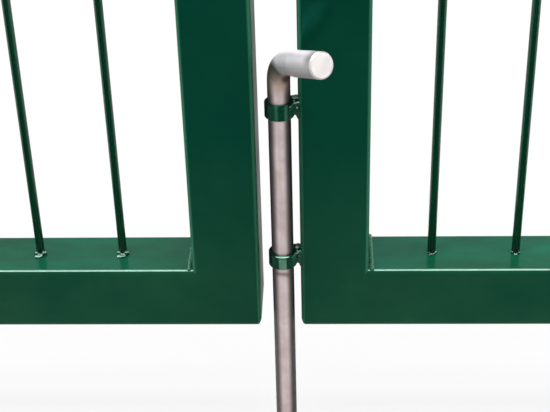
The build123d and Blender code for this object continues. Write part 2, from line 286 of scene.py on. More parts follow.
# Bar colours
ZINC_SPANGLE = [
    (0.30, srgb(178, 162, 161)), (0.5, srgb(192, 176, 175)), (0.7, srgb(204, 190, 190)),
]
ZINC_HANDLED = srgb(188, 186, 188)
ZINC_STREAK = srgb(160, 148, 145)
# Painted highlight on the handle's top
ZINC_TOP_HIGHLIGHT = srgb(246, 242, 248)
# Painted shade under the handle
ZINC_UNDERSIDE_SHADE = srgb(134, 120, 112)
ZINC_CUT_END = srgb(184, 179, 177)
# Painted shade on the bar's left and right flanks
SHADE_LEFT = srgb(50, 44, 45)
SHADE_RIGHT = srgb(16, 13, 16)
# A dark band round the bar just below the lower ring
BAND_BELOW_RING = srgb(76, 56, 54)
BEND_SHADE = srgb(50, 53, 43)
BROWN_STAIN = srgb(150, 127, 111)
# Painted shadow in the bend's inner crease
CREASE_SHADOW = srgb(52, 36, 32)

# How much painted shade darkens the bar's flanks, by how far a spot is in front of its axis or
# behind it, as a share of its radius
FLANK_SHADE = [(0.40, 0.985), (0.70, 0.93), (0.80, 0.80), (0.88, 0.48), (0.965, 0.0)]


def splashed(g, colour):
    """Earth splashed on the coat, up to a hand above the leaves' lower edges."""
    splash = g.grey(g.axis("Z"), 0.22, 0.0, LEAF_BOTTOM, LEAF_BOTTOM + SPLASH_HEIGHT)
    splash = g.times(splash, g.grey(g.noise(16, 4, 0.6), 0.35, 1.0, 0.35, 0.65))
    return g.mix(splash, colour, EARTH)


def green_powder_coat(name, rim_highlight_share):
    """Glossy moss-green powder coat: orange peel, dust, painted light on its level faces, painted
    highlights on its edges.
    """
    g = Graph(name)
    colour = g.ramp(g.noise(7, 4, 0.55), MOSS)
    dust = g.grey(g.noise(24, 5, 0.6), 0.0, 0.04, 0.5, 0.75)
    colour = splashed(g, g.mix(dust, colour, THIN_DUST))
    # Painted top light: level faces that face up turn a lighter green, broken up by noise
    top_light = g.grey(g.facing("Z"), 0.0, 0.30, 0.975, 0.999)
    top_light = g.times(top_light, g.grey(g.noise(55, 5, 0.65, (0.35, 1, 1)), 0.35, 1.0, 0.35, 0.68))
    colour = g.mix(top_light, colour, TOP_FACE_LIGHT)
    # Painted highlight on rounded edges that slope up towards the light, as strong as the given
    # share
    rim = g.times(g.near(g.facing("Z"), 0.855, 0.135), rim_highlight_share)
    colour = g.mix(rim, colour, RIM_HIGHLIGHT)
    # Painted sheen on edges that face halfway between front and side
    upright = g.times(g.size_of(g.facing("X")), g.size_of(g.facing("Y")))
    upright = g.grey(upright, 0.0, 0.75, 0.22, 0.48)
    colour = g.mix(upright, colour, EDGE_SHEEN)
    sheltered = g.near(g.axis("X"), LEFT_MEETING_X, 0.8 * MM)
    roughness = g.plus(g.grey(g.noise(35, 4), 0.16, 0.27), g.times(sheltered, 0.27))
    waves = g.bump(g.noise(60, 2), 0.12 * MM, 0.30, g.orange_peel())
    return g.surface(colour, roughness, waves, specular=COAT_SPECULAR, tint=COAT_TINT)


def coat_over_weld(name, glint, pit=WELD_PIT, lumpy=0.8):
    """The same coat over weld metal: lumpy, with painted glints where it slopes to the light, dark
    in pits.
    """
    g = Graph(name)
    colour = g.mix(g.grey(g.noise(300, 4, 0.6), 0.0, 0.35), pit, WELD_DUST)
    # Painted glints on slopes that face up
    slope = g.times(g.near(g.facing("Z"), 0.80, 0.22), glint)
    slope = g.times(slope, g.grey(g.noise(260, 3), 0.4, 1.0, 0.34, 0.56))
    colour = g.mix(slope, colour, WELD_GLINT)
    lumps = g.bump(g.noise(230, 3), 0.5 * MM, lumpy, g.orange_peel())
    roughness = g.grey(g.noise(90, 3), 0.18, 0.40)
    return g.surface(colour, roughness, lumps, specular=COAT_SPECULAR, tint=COAT_TINT)


def ring_coat(name, node, streaks, painted_reflections):
    """The coat on a guide ring, with painted shade on its flanks and painted reflections in front.

    Each streak is its X from the ring's axis and its reach, in millimetres, and its strength.
    """
    g = Graph(name)
    low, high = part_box(node)
    radius = BOLT_AXIS_Y - low.y
    axis_x = low.x + radius
    colour = g.ramp(g.noise(60, 4, 0.55), RING_MOSS)
    # Painted shade on the ring's flanks
    flank = g.distance(g.axis("Y"), BOLT_AXIS_Y)
    colour = g.mix(g.grey(flank, 0.95, 0.0, radius * 0.62, radius * 0.95), colour, RING_SHADE)
    front = g.grey(g.axis("Y"), 1.0, 0.0, BOLT_AXIS_Y - radius * 0.70, BOLT_AXIS_Y - radius * 0.45)
    # Painted reflection streaks down the ring's front
    for offset, reach, share in streaks:
        line = g.near(g.axis("X"), axis_x + offset * MM, reach * MM)
        colour = g.mix(g.times(g.times(line, share), front), colour, RING_REFLECTION_STREAK)
    if painted_reflections:
        # A painted reflection of a flat facet on the ring's front
        flat = g.near(g.axis("X"), axis_x + 0.2 * MM, 2.9 * MM)
        flat = g.times(g.grey(flat, 0.0, 0.80, 0.10, 0.34), front)
        flat = g.times(flat, g.grey(g.noise(240, 3), 0.75, 1.0))
        colour = g.mix(flat, colour, RING_FACET_REFLECTION)
        # A painted dark line beside the painted facet reflection
        dark_line = g.times(g.times(g.near(g.axis("X"), axis_x + 2.7 * MM, 0.7 * MM), front), 0.9)
        colour = g.mix(dark_line, colour, RING_DARK_LINE)
        # A painted highlight along the ring's top front edge
        top_edge_highlight = g.times(g.near(g.axis("Z"), high.z - 0.46 * MM, 0.36 * MM), front)
        top_edge_highlight = g.times(top_edge_highlight, g.grey(g.near(g.axis("X"), axis_x, 4.4 * MM), 0.0, 0.95, 0.05, 0.3))
        colour = g.mix(top_edge_highlight, colour, RING_TOP_HIGHLIGHT)
        # A painted dark line under the painted top-edge highlight
        under = g.times(g.times(g.near(g.axis("Z"), high.z - 1.35 * MM, 0.6 * MM), front), 0.9)
        colour = g.mix(under, colour, RING_DARK_LINE)
    waves = g.bump(g.noise(90, 2), 0.15 * MM, 0.4, g.orange_peel())
    level_face = g.grey(g.facing("Z"), 0.0, 0.4, 0.90, 0.98)
    roughness = g.plus(g.grey(g.noise(80, 3), 0.22, 0.38), level_face)
    return g.surface(colour, roughness, waves, specular=COAT_SPECULAR, tint=COAT_TINT)


def galvanised_bar(name):
    """Zinc-coated round bar, greyer at its handle and dark in a band just below the lower ring.

    Painted shade lies on its flanks, under its handle and in its bend, and a painted highlight on
    its handle's top.
    """
    g = Graph(name)
    height = g.axis("Z")
    streaks = g.noise(500, 3, 0.6, (1, 1, 0.03))
    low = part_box("drop_bolt")[0]
    guide_low, guide_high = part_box("lower_bolt_guide")
    radius = (guide_high.y - BOLT_AXIS_Y) - RING_OVER_BOLT

    def near_spot(x, y, z, reach):
        """Near a spot, in millimetres from the bar's left side, its axis and the leaf's bottom."""
        spot = (low.x + x * MM, BOLT_AXIS_Y + y * MM, LEAF_BOTTOM + z * MM)
        return g.near_point(spot, reach * MM)

    base = g.ramp(g.noise(90, 4, 0.6), ZINC_SPANGLE)
    handled = g.grey(height, 0.0, 0.9, LEAF_BOTTOM + 160 * MM, LEAF_BOTTOM + 172 * MM)
    base = g.mix(handled, base, ZINC_HANDLED)
    base = g.mix(g.grey(streaks, 0.0, 0.28, 0.45, 0.75), base, ZINC_STREAK)

    # Painted shade down the bar's flanks below its bend, darker on the right flank
    away = g.grey(g.distance(g.axis("Y"), BOLT_AXIS_Y), 0.0, 1.0, 0.0, radius)
    flank = g.ramp(away, [(place, (painted_shade,) * 3) for place, painted_shade in FLANK_SHADE])
    shank = g.grey(height, 1.0, 0.0, LEAF_BOTTOM + 164 * MM, LEAF_BOTTOM + 178 * MM)
    right_side = g.grey(g.axis("X"), 0.0, 1.0, low.x + radius * 0.6, low.x + radius * 1.4)
    painted_shade = g.mix(right_side, SHADE_LEFT, SHADE_RIGHT)
    base = g.mix(g.times(flank, shank), base, painted_shade)

    cut_end = near_spot(29.9, -36.6, 189.4, 11)
    # A painted highlight on the handle's upward faces, kept off its cut end
    top = g.times(handled, g.grey(g.facing("Z"), 0.0, 0.95, 0.02, 0.50))
    top = g.times(top, g.grey(cut_end, 1.0, 0.0, 0.0, 0.3))
    base = g.mix(top, base, ZINC_TOP_HIGHLIGHT)
    # Painted shade on the handle's downward faces
    under = g.times(handled, g.grey(g.facing("Z"), 0.75, 0.0, -0.85, -0.10))
    base = g.mix(under, base, ZINC_UNDERSIDE_SHADE)

    # A dark band round the bar just below the lower ring, with a wavy edge
    wavy = g.plus(height, g.grey(g.noise(120, 2), -1.2 * MM, 1.2 * MM))
    dark_band = g.near(wavy, guide_low.z - 4.9 * MM, 2.6 * MM)
    base = g.mix(g.times(dark_band, g.grey(g.noise(160, 3), 0.45, 0.95)), base, BAND_BELOW_RING)
    outer = near_spot(3.6, -6.6, 171.4, 10)
    base = g.mix(g.grey(outer, 0.0, 0.94, 0.12, 0.56), base, BEND_SHADE)
    stain = near_spot(7.6, -6.2, 165.0, 10)
    stain = g.times(stain, g.grey(g.noise(110, 3), 0.55, 1.0, 0.35, 0.65))
    base = g.mix(stain, base, BROWN_STAIN)
    # A painted shadow in the inner crease of the bend
    crease = near_spot(11.7, -5.8, 167.8, 5.0)
    base = g.mix(g.grey(crease, 0.0, 0.95, 0.0, 0.5), base, CREASE_SHADOW)
    base = g.mix(g.grey(cut_end, 0.0, 0.85, 0.15, 0.6), base, ZINC_CUT_END)

    rough = g.grey(g.noise(200, 3), 0.38, 0.54)
    pits = g.bump(g.noise(900, 3), 0.06 * MM, 0.4)
    normal = g.bump(streaks, 0.05 * MM, 0.25, pits)
    return g.surface(base, rough, normal, metallic=0.6)


def galvanised_fitting(name):
    """Hot-dip zinc on the hinge fittings: spangled greys with a dull bloom."""
    g = Graph(name)
    cells = g.node("ShaderNodeTexVoronoi", feature="F1")
    cells.inputs["Scale"].default_value = 190
    g.link(g.place, cells.inputs["Vector"])
    shade = g.node("ShaderNodeSeparateColor")
    g.link(cells.outputs["Color"], shade.inputs["Color"])
    base = g.ramp(
        shade.outputs[0],
        [(0.0, srgb(150, 153, 156)), (0.5, srgb(172, 175, 178)), (1.0, srgb(192, 195, 197))],
    )
    bloom = g.grey(g.noise(40, 5), 0.0, 0.5, 0.5, 0.75)
    base = g.mix(bloom, base, srgb(196, 196, 192))
    rough = g.grey(g.noise(130, 3), 0.36, 0.55)
    normal = g.bump(g.noise(500, 3), 0.12 * MM, 0.5)
    return g.surface(base, rough, normal, metallic=0.8)


def brushed_metal(name, colour, dark, along):
    """Brushed metal; along stretches its grain on one axis."""
    g = Graph(name)
    grain = g.noise(1400, 4, 0.7, along)
    base = g.mix(g.grey(grain, 0.0, 0.8, 0.35, 0.7), colour, dark)
    rough = g.grey(grain, 0.22, 0.38)
    smudge = g.grey(g.noise(30, 4), -0.03, 0.06)
    normal = g.bump(grain, 0.03 * MM, 0.3)
    return g.surface(base, g.plus(rough, smudge), normal, metallic=0.95)


def moulded_plastic(name, colour, light):
    """Matte moulded plastic with a fine grain."""
    g = Graph(name)
    base = g.mix(g.grey(g.noise(25, 4), 0.0, 0.7), colour, light)
    rough = g.grey(g.noise(300, 3), 0.42, 0.58)
    normal = g.bump(g.noise(1600, 2), 0.04 * MM, 0.5)
    return g.surface(base, rough, normal, specular=0.4)


def painted_keyway_shade(name):
    """Painted shade for the inside of a keyway or a hole."""
    g = Graph(name)
    base = g.mix(g.grey(g.noise(400, 3), 0.0, 1.0), srgb(14, 14, 14), srgb(30, 28, 26))
    return g.surface(base, 0.6, specular=0.2)


# Brushed grain runs along the axis with the small share
GRAIN_UPRIGHT = (1, 1, 0.04)
GRAIN_THROUGH = (1, 0.04, 1)

# The share sets how strong the painted edge highlight is, on the frame and on the wires
coat = green_powder_coat("green_powder_coat", rim_highlight_share=0.80)
wire_coat = green_powder_coat("green_wire_coat", rim_highlight_share=0.15)
weld_coat = coat_over_weld("green_coat_over_weld", glint=1.0)
dull_weld_coat = coat_over_weld("green_coat_over_ring_weld", glint=0.65)
fillet_coat = coat_over_weld("green_coat_over_fillet", glint=0.18, pit=FILLET_PIT, lumpy=0.2)
# The upper ring's painted reflection streaks
UPPER_RING_STREAKS = ((-1.4, 1.5, 0.30), (3.9, 1.3, 0.40))
# Only the lower ring gets the painted facet reflection, its painted dark lines and its painted top
# highlight
upper_ring_coat = ring_coat("upper_ring_coat", "upper_bolt_guide", UPPER_RING_STREAKS, painted_reflections=False)
lower_ring_coat = ring_coat("lower_ring_coat", "lower_bolt_guide", (), painted_reflections=True)
bar_zinc = galvanised_bar("galvanised_bar")
zinc = galvanised_fitting("galvanised_fitting")
aluminium = brushed_metal(
    "brushed_aluminium", srgb(200, 201, 202), srgb(172, 173, 175), GRAIN_UPRIGHT
)
steel = brushed_metal("brushed_steel", srgb(190, 189, 187), srgb(158, 157, 155), GRAIN_UPRIGHT)
brass = brushed_metal("cylinder_metal", srgb(206, 194, 152), srgb(176, 162, 118), GRAIN_THROUGH)
plastic = moulded_plastic("cap_plastic", srgb(10, 58, 42), srgb(22, 74, 56))
# Painted shade for the keyways
dark = painted_keyway_shade("painted_keyway_shade")

SLOT_MATERIALS = {
    "green_coat": coat,
    "bolt_steel": bar_zinc,
    "galvanised_fittings": zinc,
    "lock_aluminium": aluminium,
    "lock_steel": steel,
    "cylinder_brass": brass,
    "cap_plastic": plastic,
}
RING_MATERIALS = {"upper_bolt_guide": upper_ring_coat, "lower_bolt_guide": lower_ring_coat}

for entry in frame["record"]["subparts"]:
    node = frame["nodes"][entry["node"]]
    node.data.materials.clear()
    node.data.materials.append(SLOT_MATERIALS[entry["material_slot"]])
for name, material in RING_MATERIALS.items():
    frame["nodes"][name].data.materials[0] = material


# Pieces


def mesh_data(name, mesh):
    """Turns a bmesh into mesh data with its faces outward."""
    data = bpy.data.meshes.new(name)
    bmesh.ops.recalc_face_normals(mesh, faces=mesh.faces)
    mesh.to_mesh(data)
    mesh.free()
    return data


def place_piece(name, data, material, body):
    """Makes a smooth object of mesh data, and says what it rides on."""
    for polygon in data.polygons:
        polygon.use_smooth = True
    data.materials.clear()
    data.materials.append(material)
    piece = bpy.data.objects.new(name, data)
    bpy.context.scene.collection.objects.link(piece)
    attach(piece, body)
    return piece


def finish_piece(name, mesh, material, body):
    """Makes an object of a bmesh."""
    return place_piece(name, mesh_data(name, mesh), material, body)


def join_rings(mesh, rings):
    """Adds the faces between neighbouring rings of corners."""
    for first, second in zip(rings, rings[1:]):
        for index in range(len(first)):
            following = (index + 1) % len(first)
            mesh.faces.new((first[index], first[following], second[following], second[index]))


def close_ends(mesh, rings):
    """Adds a face over the first ring and one over the last."""
    mesh.faces.new(rings[0][::-1])
    mesh.faces.new(rings[-1])


def add_wire(mesh, start, end, radius):
    """Adds a straight round wire."""
    start, end = Vector(start), Vector(end)
    along = (end - start).normalized()
    side = along.orthogonal().normalized()
    other = along.cross(side)
    rings = []
    for point in (start, end):
        ring = []
        for step in range(WIRE_SIDES):
            angle = 2 * math.pi * step / WIRE_SIDES
            spot = point + (side * math.cos(angle) + other * math.sin(angle)) * radius
            ring.append(mesh.verts.new(spot))
        rings.append(ring)
    join_rings(mesh, rings)
    close_ends(mesh, rings)


def add_blob(mesh, centre, size, seed, wobble, rings=6, sides=10, turn=None):
    """Adds a lumpy ellipsoid of weld metal; size is its three half-widths."""
    centre = Vector(centre)
    shift = Vector((seed * 1.37, seed * 2.11, seed * 0.73))
    rows = []
    for row in range(1, rings):
        tilt = math.pi * row / rings
        line = []
        for step in range(sides):
            angle = 2 * math.pi * step / sides
            level = math.sin(tilt)
            way = Vector((level * math.cos(angle), level * math.sin(angle), math.cos(tilt)))
            grow = 1 + wobble * noise.noise(way * 1.6 + shift)
            spot = Vector((way.x * size[0], way.y * size[1], way.z * size[2])) * grow
            if turn is not None:
                spot = turn @ spot
            line.append(mesh.verts.new(centre + spot))
        rows.append(line)
    ends = []
    for sign in (1, -1):
        spot = Vector((0, 0, sign * size[2]))
        if turn is not None:
            spot = turn @ spot
        ends.append(mesh.verts.new(centre + spot))
    for step in range(sides):
        following = (step + 1) % sides
        mesh.faces.new((ends[0], rows[0][step], rows[0][following]))
        mesh.faces.new((ends[1], rows[-1][following], rows[-1][step]))
        for first, second in zip(rows, rows[1:]):
            mesh.faces.new((first[step], second[step], second[following], first[following]))


def bead(mesh, start, end, size, seed, pitch, wobble=0.3):
    """Adds a row of overlapping weld ripples from start to end."""
    start, end = Vector(start), Vector(end)
    count = max(2, int((end - start).length / pitch))
    chance = random.Random(seed)
    for index in range(count + 1):
        spot = start.lerp(end, index / count)
        grow = 1 + chance.uniform(-0.18, 0.18)
        add_blob(mesh, spot, [s * grow for s in size], seed + index * 0.37, wobble)


def melted(name, mesh, voxel, lump, material, body, lump_scale=420):
    """Joins overlapping blobs into one skin, roughened like cooled weld metal under its coat."""
    blobs = bpy.data.objects.new(name + "_blobs", mesh_data(name + "_blobs", mesh))
    bpy.context.scene.collection.objects.link(blobs)
    join = blobs.modifiers.new("join", "REMESH")
    join.mode = "VOXEL"
    join.voxel_size = voxel
    smooth = blobs.modifiers.new("smooth", "SMOOTH")
    smooth.factor = 0.5
    smooth.iterations = 2
    graph = bpy.context.evaluated_depsgraph_get()
    skin = bpy.data.meshes.new_from_object(blobs.evaluated_get(graph))
    bpy.data.objects.remove(blobs)
    skin.name = name
    moves = [v.normal * lump * noise.noise(v.co * lump_scale) for v in skin.vertices]
    for vertex, move in zip(skin.vertices, moves):
        vertex.co += move
    place_piece(name, skin, material, body)


# Wire mesh


# How far apart corners of one wire can be, which is less than the wires' spacing
GROUP_REACH = 8 * MM


def wire_places(node):
    """The uprights' X and the crosswires' Z, read from the mesh node's own corners."""
    corners = [v.co for v in frame["nodes"][node].data.vertices]
    low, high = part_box(node)
    edge = 0.05 * MM
    tops = sorted({round(c.x, 5) for c in corners if abs(c.z - high.z) < edge})
    ends = sorted({round(c.z, 5) for c in corners if abs(c.x - high.x) < edge})
    return middles(tops), middles(ends)


def middles(values):
    """The middle of each close group of sorted values."""
    groups = [[values[0]]]
    for value in values[1:]:
        if value - groups[-1][0] < GROUP_REACH:
            groups[-1].append(value)
        else:
            groups.append([value])
    return [(group[0] + group[-1]) / 2 for group in groups]


def build_wires(side):
    """Round wires in place of the mesh node's square bars, with a flat melt at each crossing."""
    node = f"{side}_mesh"
    low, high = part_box(node)
    uprights, crosses = wire_places(node)
    middle = (low.y + high.y) / 2
    mesh = bmesh.new()
    for x in uprights:
        add_wire(mesh, (x, middle, low.z), (x, middle, high.z), UPRIGHT_RADIUS)
    for z in crosses:
        for y in (middle - CROSS_OFFSET, middle + CROSS_OFFSET):
            add_wire(mesh, (low.x, y, z), (high.x, y, z), CROSS_RADIUS)
    wires = finish_piece(f"{side}_round_wires", mesh, wire_coat, f"{side}_leaf")
    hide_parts(node)
    melt = bmesh.new()
    count = 0
    for x in uprights:
        for z in crosses:
            for sign in (-1, 1):
                count += 1
                spot = (x, middle + sign * (UPRIGHT_RADIUS - WIRE_WELD_DEPTH / 2), z)
                add_blob(melt, spot, (3.0 * MM, 0.9 * MM, 2.9 * MM), count * 0.61, 0.2, 4, 8)
    finish_piece(f"{side}_crossing_melts", melt, wire_coat, f"{side}_leaf")
    feet = bmesh.new()
    for index, x in enumerate(uprights):
        for z, sign in ((low.z, 1), (high.z, -1)):
            add_foot_weld(feet, x, middle, z, sign, index + (50 if sign < 0 else 0), side)
    finish_piece(f"{side}_wire_foot_welds", feet, weld_coat, f"{side}_leaf")


# Blobs round an upright's foot: degrees from its garden side, and the half-height in millimetres
FOOT_BLOBS = ((-66, 1.9), (-42, 2.5), (-16, 1.5), (14, 1.3), (40, 2.3), (64, 1.8))
# How plump the feet's welds are on each leaf
PLUMPNESS = {"left": (0.95, 1.12), "right": (0.36, 0.52)}


def add_foot_weld(mesh, x, y, z, sign, seed, side):
    """The tack weld at an upright's end: a small horseshoe of weld metal on its garden side."""
    chance = random.Random(seed * 7 + (1 if side == "left" else 2))
    plump = chance.uniform(*PLUMPNESS[side])
    lean = chance.uniform(-10, 10)
    for step, (degrees, tall) in enumerate(FOOT_BLOBS):
        angle = math.radians(degrees + lean)
        reach = UPRIGHT_RADIUS + 0.55 * MM * plump
        grow = plump * chance.uniform(0.88, 1.15)
        spot = (x + math.sin(angle) * reach, y - math.cos(angle) * reach, z + sign * 0.3 * MM)
        size = (1.25 * MM * grow, 1.25 * MM * grow, tall * MM * grow)
        add_blob(mesh, spot, size, seed * 0.9 + step, 0.3, 8, 12)
    spot = (x - 0.5 * MM, y - UPRIGHT_RADIUS - 1.7 * MM * plump, z)
    size = (2.9 * MM * plump, 1.8 * MM * plump, 1.5 * MM * plump)
    add_blob(mesh, spot, size, seed * 1.7, 0.35, 8, 12)


def build_cross_tacks(side):
    """A small weld at both ends of each crosswire, on the stiles' inner faces."""
    low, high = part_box(f"{side}_mesh")
    middle = (low.y + high.y) / 2
    mesh = bmesh.new()
    seed = 3.0 if side == "left" else 11.0
    for z in wire_places(f"{side}_mesh")[1]:
        for y in (middle - CROSS_OFFSET, middle + CROSS_OFFSET):
            for x, sign in ((low.x, 1), (high.x, -1)):
                seed += 0.83
                size = (1.9 * MM, 3.6 * MM, 4.2 * MM)
                add_blob(mesh, (x + sign * 0.2 * MM, y, z - 0.4 * MM), size, seed, 0.35, 8, 12)
    finish_piece(f"{side}_crosswire_tacks", mesh, weld_coat, f"{side}_leaf")


def build_corner_beads(side):
    """The weld left in the leaf's four inner corners; the welds on the faces are ground flush."""
    mesh = bmesh.new()
    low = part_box(f"{side}_bottom_rail")[0]
    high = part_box(f"{side}_top_rail")[1]
    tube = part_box(f"{side}_bottom_rail")[1].z - low.z
    seed = 1 if side == "left" else 5
    for x, towards in ((low.x + tube, 1), (high.x - tube, -1)):
        for z, upward in ((low.z + tube, 1), (high.z - tube, -1)):
            seed += 1
            x_out, z_out = x + towards * 0.3 * MM, z + upward * 0.3 * MM
            start, end = (x_out, low.y + 2.0 * MM, z_out), (x_out, high.y - 2.0 * MM, z_out)
            bead(mesh, start, end, (1.4 * MM,) * 3, seed, 1.2 * MM, 0.10)
    name = f"{side}_corner_welds"
    melted(name, mesh, 0.40 * MM, 0.05 * MM, fillet_coat, f"{side}_leaf")


for leaf in SIDES:
    build_wires(leaf)
for leaf in SIDES:
    build_cross_tacks(leaf)
    build_corner_beads(leaf)


# Guide welds


# Blobs round the ring: degrees from its front, the half-height as a share of the ring's, and the
# drop in millimetres
RING_BLOBS = ((50, 0.84, 0.0), (64, 0.90, -0.2), (80, 0.82, -0.5), (96, 0.80, -0.5))
# Blobs from the ring to the stile: the share of the way, the half-height as a share of the ring's,
# and the half-depth and Y in millimetres
BRIDGE_BLOBS = (
    (0.2, 0.84, 2.2, 0.9), (0.6, 0.94, 2.4, 1.1), (1.0, 1.12, 2.8, 1.9), (1.25, 1.36, 2.8, 2.6)
)
# Spatter on the lug: X and Y in millimetres and Z as a share of the ring's half-height, and the
# half-widths in millimetres
SPATTER_BLOBS = (
    ((-1.2, -3.9, 0.62), (1.1, 1.0, 1.0)),
    ((0.6, -1.8, 0.70), (1.2, 1.1, 0.9)),
    ((-0.4, -3.0, -0.30), (1.2, 1.1, 1.6)),
    ((1.0, -0.9, -0.05), (1.1, 1.2, 1.4)),
    ((2.3, 1.2, -1.22), (1.2, 1.5, 1.7)),
    ((0.2, 2.6, 0.98), (1.5, 1.6, 0.7)),
    ((1.9, 3.8, 1.00), (1.5, 1.7, 0.6)),
    ((0.8, 5.2, 0.98), (1.6, 1.5, 0.7)),
    ((2.2, 1.0, 0.20), (1.1, 1.4, 2.2)),
)


def build_guide_welds():
    """The lumpy weld between each guide ring and the stile's corner, narrow at its waist."""
    mesh = bmesh.new()
    for index, node in enumerate(("lower_bolt_guide", "upper_bolt_guide")):
        low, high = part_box(node)
        half = (high.z - low.z) / 2
        radius = BOLT_AXIS_Y - low.y
        centre = Vector((low.x + radius, BOLT_AXIS_Y, (low.z + high.z) / 2))
        seed = 4.1 + 3.3 * index
        for step, (degrees, tall, drop) in enumerate(RING_BLOBS):
            angle = math.radians(degrees)
            across, deep = math.sin(angle) * radius, -math.cos(angle) * radius
            spot = centre + Vector((across, deep, -drop * MM))
            size = (1.9 * MM, 1.0 * MM, half * tall)
            turn = Matrix.Rotation(angle, 3, "Z")
            add_blob(mesh, spot, size, seed + step, 0.14, 12, 14, turn)
        gap = RIGHT_MEETING.x - centre.x - radius
        for step, (share, tall, deep, y) in enumerate(BRIDGE_BLOBS):
            spot = centre + Vector((radius + gap * share, y * MM, -0.7 * MM * (1 + share)))
            spot.x = min(spot.x, RIGHT_MEETING.x + 0.1 * MM)
            add_blob(mesh, spot, (1.4 * MM, deep * MM, half * tall), seed * 2 + step, 0.16, 12, 14)
        for place, size in SPATTER_BLOBS:
            spot = centre + Vector((radius + place[0] * MM, place[1] * MM, place[2] * half))
            add_blob(mesh, spot, [v * MM for v in size], seed + spot[2] * 900, 0.3, 8, 12)
    name = "bolt_guide_welds"
    melted(name, mesh, 0.30 * MM, 0.40 * MM, dull_weld_coat, "right_leaf", 640)


build_guide_welds()


# Posts and hinges


def build_foot_welds():
    """The weld bead round each post's foot, on its base plate."""
    for side in SIDES:
        low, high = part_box(f"{side}_post")
        mesh = bmesh.new()
        middle = (low + high) / 2
        inset = 4.0 * MM
        size = (2.6 * MM, 2.6 * MM, 2.4 * MM)
        corners = [(low.x, low.y), (high.x, low.y), (high.x, high.y), (low.x, high.y)]
        for index in range(4):
            first = Vector((*corners[index], low.z + 0.6 * MM))
            second = Vector((*corners[(index + 1) % 4], low.z + 0.6 * MM))
            along = (second - first).normalized()
            bead(mesh, first + along * inset, second - along * inset, size, index + 2, 2.0 * MM)
            at_corner = first + (Vector((middle.x, middle.y, first.z)) - first) * 0.025
            add_blob(mesh, at_corner, (3.0 * MM, 3.0 * MM, 2.4 * MM), index * 1.9, 0.3, 8, 12)
        name = f"{side}_post_foot_weld"
        melted(name, mesh, 0.8 * MM, 0.18 * MM, weld_coat, "posts", 300)


LEVELS = ("lower", "upper")
# The sizes of the hinges, as in the solids: the plate's height, the shank's radius and the width
# across the eye
HINGE_PLATE_HEIGHT = 46 * MM
EYEBOLT_RADIUS = 7.0 * MM
EYE_OUTER = 25 * MM
# A little less than the shank's, so that no gap shows between nut and shank
NUT_BORE_RADIUS = 6.9 * MM
# How round a nut's face is, as a share of its half-width across flats
NUT_CROWN_SHARE = 0.985
NUT_SEGMENTS = 72
# The thread's core is sunk in the shank, and its crests stand out of it
THREAD_PITCH = 2.0 * MM
THREAD_DEPTH = 0.34 * MM
THREAD_SUNK = 0.10 * MM
THREAD_ROOT = 0.02 * MM
THREAD_SIDES = 36
THREAD_STEPS_PER_TURN = 8
# The bare tip past the thread's end
BARE_TIP = 0.9 * MM
# Edges sharper than this many degrees stay crisp
NUT_CRISP_ANGLE = 28
TRIM_CRISP_ANGLE = 32


def build_pintle_welds():
    """The weld beads down both sides of each hinge pin's plate, on the post."""
    for side in SIDES:
        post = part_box(f"{side}_post")
        face = post[1].x if side == "left" else post[0].x
        outward = 1 if side == "left" else -1
        size = (1.9 * MM, 2.2 * MM, 1.8 * MM)
        mesh = bmesh.new()
        for index, level in enumerate(LEVELS):
            low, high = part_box(f"{side}_{level}_hinge_pin")
            plate_top = low.z + HINGE_PLATE_HEIGHT
            for y in (low.y, high.y):
                start = (face + outward * 0.8 * MM, y, low.z + 4 * MM)
                end = (face + outward * 0.8 * MM, y, plate_top - 4 * MM)
                bead(mesh, start, end, size, index * 3 + y * 100, 1.9 * MM)
        name = f"{side}_hinge_plate_welds"
        melted(name, mesh, 0.55 * MM, 0.12 * MM, zinc, "posts")


def add_thread(mesh, start, end):
    """Adds the crests of a screw thread round an eyebolt's shank along X, from start to end."""
    start, end = Vector(start), Vector(end)
    length = (end - start).length
    along = (end - start).normalized()
    count = max(4, int(length / THREAD_PITCH * THREAD_STEPS_PER_TURN))
    half_pitch = 0.5 * THREAD_PITCH
    rings = []
    for step in range(count + 1):
        place = length * step / count
        fade = max(min(1.0, place / half_pitch, (length - place) / half_pitch), 0.0)
        ring = []
        for index in range(THREAD_SIDES):
            angle = 2 * math.pi * index / THREAD_SIDES
            phase = (place / THREAD_PITCH - index / THREAD_SIDES) % 1.0
            height = (1 - abs(2 * phase - 1)) * THREAD_DEPTH
            reach = EYEBOLT_RADIUS - THREAD_SUNK + (height + THREAD_ROOT) * fade
            spot = start + along * place + Vector((0, math.cos(angle), math.sin(angle))) * reach
            ring.append(mesh.verts.new(spot))
        rings.append(ring)
    join_rings(mesh, rings)
    close_ends(mesh, rings)


def add_nut(mesh, face, outward, thickness, across):
    """Adds a hexagon nut that sits on a face: chamfered at both ends, with a corner at its top."""
    face = Vector(face)
    flat = across / 2
    crown = flat * NUT_CROWN_SHARE
    rows = [[] for _ in range(6)]
    for index in range(NUT_SEGMENTS):
        angle = 2 * math.pi * index / NUT_SEGMENTS
        around = (angle + math.pi / 6) % (math.pi / 3) - math.pi / 6
        corner = flat / math.cos(math.pi / 6 - abs(around))
        drop = (corner - crown) * math.tan(math.radians(30))
        profile = (
            (NUT_BORE_RADIUS, 0.0),
            (crown, 0.0),
            (corner, drop * 0.6),
            (corner, thickness - drop),
            (crown, thickness),
            (NUT_BORE_RADIUS, thickness),
        )
        for row, (reach, place) in zip(rows, profile):
            spot = Vector((outward * place, math.sin(angle) * reach, math.cos(angle) * reach))
            row.append(mesh.verts.new(face + spot))
    join_rings(mesh, rows + rows[:1])


